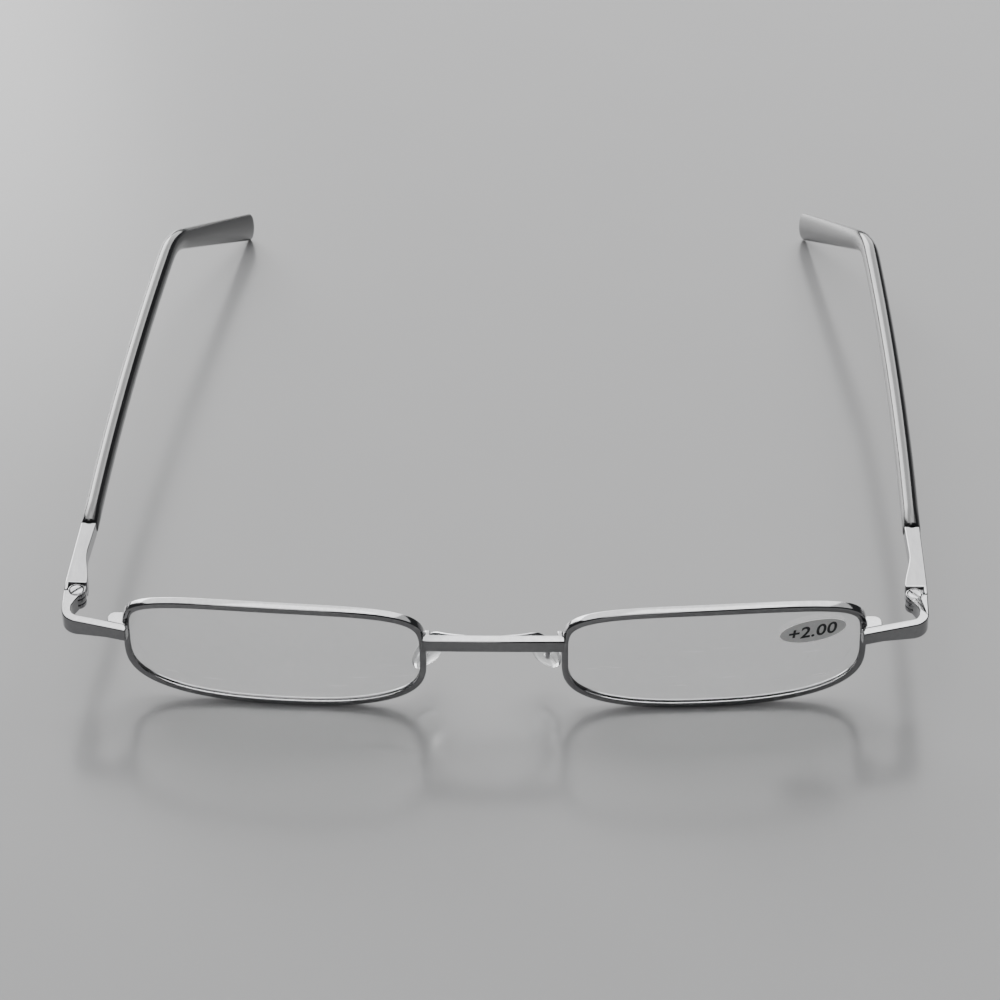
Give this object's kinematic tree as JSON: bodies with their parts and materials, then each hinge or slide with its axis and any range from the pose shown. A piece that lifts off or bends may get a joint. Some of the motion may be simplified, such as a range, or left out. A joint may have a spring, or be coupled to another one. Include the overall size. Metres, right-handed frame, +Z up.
{
  "type": "folding reading glasses",
  "caption": "Slim metal-framed reading glasses with rounded rectangular lenses, silicone nose pads on a wire, and thin sleeved temples that fold at pinned hinges.",
  "frame": {"origin": "centre of the standing glasses' box at floor level", "axes": "+X to the right as seen from the front (every left or right in a name is as seen from the front), +Y from the front back to the ear tips, +Z up"},
  "size_m": [0.134, 0.1434, 0.0217],
  "materials": {
    "chrome": "polished nickel-chrome plate",
    "wire": "bright drawn wire",
    "screw": "turned steel",
    "lens": "clear, polished",
    "silicone": "clear silicone",
    "sleeve": "gloss black",
    "sticker": "thin satin film"
  },
  "bodies": {
    "front": {"rim_left": "chrome", "rim_right": "chrome", "lens_left": "lens", "lens_right": "lens", "power_sticker": "sticker", "bridge": "chrome", "pad_wire": "wire", "nose_pad_left": "silicone", "nose_pad_right": "silicone", "end_piece_left": "chrome", "end_piece_right": "chrome", "closing_block_upper_left": "chrome", "closing_block_upper_right": "chrome", "closing_block_lower_left": "chrome", "closing_block_lower_right": "chrome", "rim_screw_left": "screw", "rim_screw_right": "screw", "hinge_screw_left": "screw", "hinge_screw_right": "screw"},
    "temple_left": {"temple_bar_left": "chrome", "temple_sleeve_left": "sleeve"},
    "temple_right": {"temple_bar_right": "chrome", "temple_sleeve_right": "sleeve"}
  },
  "joints": [
    {"name": "temple_left_fold", "type": "hinge", "parent": "front", "child": "temple_left", "pos_m": [-0.065, -0.05921, 0.01499], "axis": [0, 0.1601, -0.9871], "range_deg": [0, 88]},
    {"name": "temple_right_fold", "type": "hinge", "parent": "front", "child": "temple_right", "pos_m": [0.065, -0.05921, 0.01499], "axis": [0, -0.1601, 0.9871], "range_deg": [0, 82]}
  ]
}
